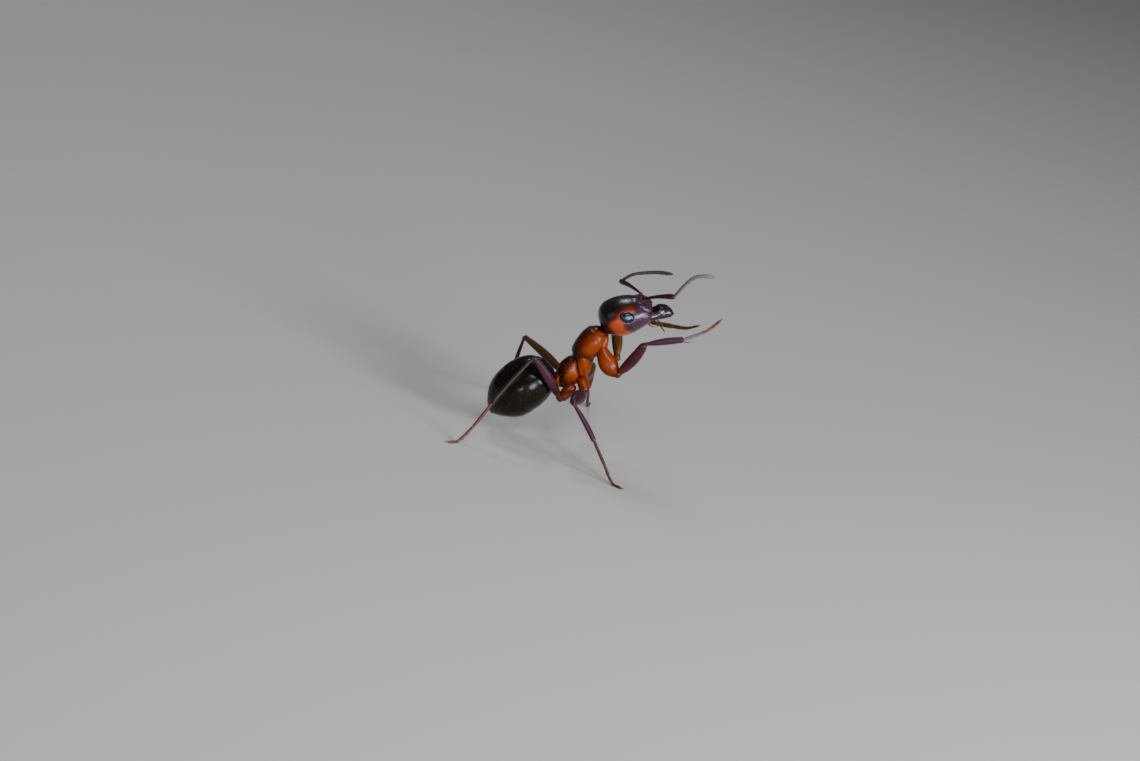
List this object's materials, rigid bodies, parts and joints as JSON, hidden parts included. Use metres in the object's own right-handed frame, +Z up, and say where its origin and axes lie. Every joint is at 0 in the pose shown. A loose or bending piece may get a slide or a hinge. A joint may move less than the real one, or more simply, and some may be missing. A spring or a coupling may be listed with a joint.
{
  "type": "red wood ant",
  "caption": "Life-size still model of a red wood ant worker, reared up on its middle and hind legs, with its jaws and fore legs raised to grip a load.",
  "frame": {"origin": "on the floor, under the middle of the ant's length and breadth, level with its soles", "axes": "+X towards the head, +Y to the ant's left, +Z up"},
  "size_m": [0.0102, 0.01, 0.0086],
  "materials": {
    "head_shell": "glossy cuticle, orange-red cheeks under a black-brown crown",
    "red_shell": "glossy orange-red cuticle",
    "black_shell": "glossy black cuticle",
    "leg_shell": "satin purple-brown cuticle",
    "eye_shell": "black compound eye"
  },
  "bodies": {
    "root": {"coxa_fore_left": "red_shell", "coxa_fore_right": "red_shell", "coxa_hind_left": "red_shell", "coxa_hind_right": "red_shell", "coxa_mid_left": "red_shell", "coxa_mid_right": "red_shell", "eye_left": "eye_shell", "eye_right": "eye_shell", "femur_fore_left": "leg_shell", "femur_fore_right": "leg_shell", "femur_hind_left": "leg_shell", "femur_hind_right": "leg_shell", "femur_mid_left": "leg_shell", "femur_mid_right": "leg_shell", "funiculus_left": "leg_shell", "funiculus_right": "leg_shell", "gaster": "black_shell", "head": "head_shell", "mandible_left": "leg_shell", "mandible_right": "leg_shell", "mesothorax": "red_shell", "petiole": "red_shell", "pronotum": "red_shell", "propodeum": "red_shell", "scape_left": "leg_shell", "scape_right": "leg_shell", "tarsus_fore_left": "leg_shell", "tarsus_fore_right": "leg_shell", "tarsus_hind_left": "leg_shell", "tarsus_hind_right": "leg_shell", "tarsus_mid_left": "leg_shell", "tarsus_mid_right": "leg_shell", "tibia_fore_left": "leg_shell", "tibia_fore_right": "leg_shell", "tibia_hind_left": "leg_shell", "tibia_hind_right": "leg_shell", "tibia_mid_left": "leg_shell", "tibia_mid_right": "leg_shell"}
  },
  "joints": []
}
